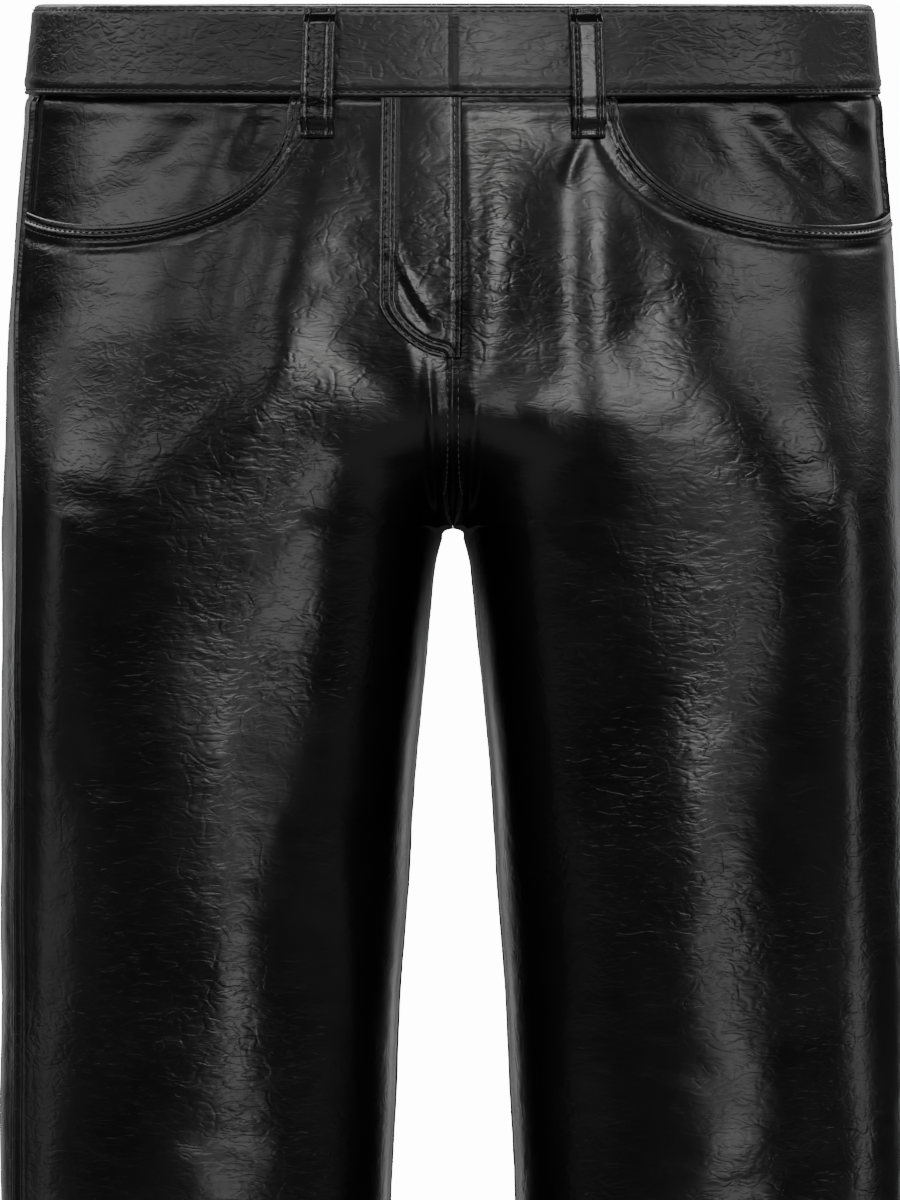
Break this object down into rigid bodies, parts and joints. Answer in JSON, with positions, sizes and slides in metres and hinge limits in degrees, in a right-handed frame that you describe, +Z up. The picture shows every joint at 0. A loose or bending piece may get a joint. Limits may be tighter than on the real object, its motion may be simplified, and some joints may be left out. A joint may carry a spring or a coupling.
{
  "type": "vinyl trousers",
  "caption": "Glossy black crinkled vinyl trousers, low rise and straight leg, filled out as worn, with scoop pockets, fly and belt loops.",
  "frame": {"origin": "middle of the waistband's ring, half way up the band, where the wearer's waist holds the trousers up", "axes": "+Z up through the waist opening, -Y towards the front, +X towards the wearer's left"},
  "size_m": [0.344, 0.2392, 0.9961],
  "materials": {
    "panel_vinyl": "glossy black vinyl with a fine crinkle",
    "band_vinyl": "glossy black vinyl with a fine crinkle, two layers, edge stitched",
    "facing_vinyl": "glossy black vinyl with a fine crinkle",
    "fly_vinyl": "glossy black vinyl with a fine crinkle, edge stitched",
    "loop_vinyl": "glossy black vinyl, folded strap, edge stitched"
  },
  "bodies": {
    "root": {"front_left": "panel_vinyl", "front_right": "panel_vinyl", "back_left": "panel_vinyl", "back_right": "panel_vinyl", "waistband_left": "band_vinyl", "waistband_right": "band_vinyl", "pocket_facing_left": "facing_vinyl", "pocket_facing_right": "facing_vinyl", "fly": "fly_vinyl", "belt_loop_front_left": "loop_vinyl", "belt_loop_front_right": "loop_vinyl", "belt_loop_back_left": "loop_vinyl", "belt_loop_back_right": "loop_vinyl", "belt_loop_centre_back": "loop_vinyl"}
  },
  "joints": []
}
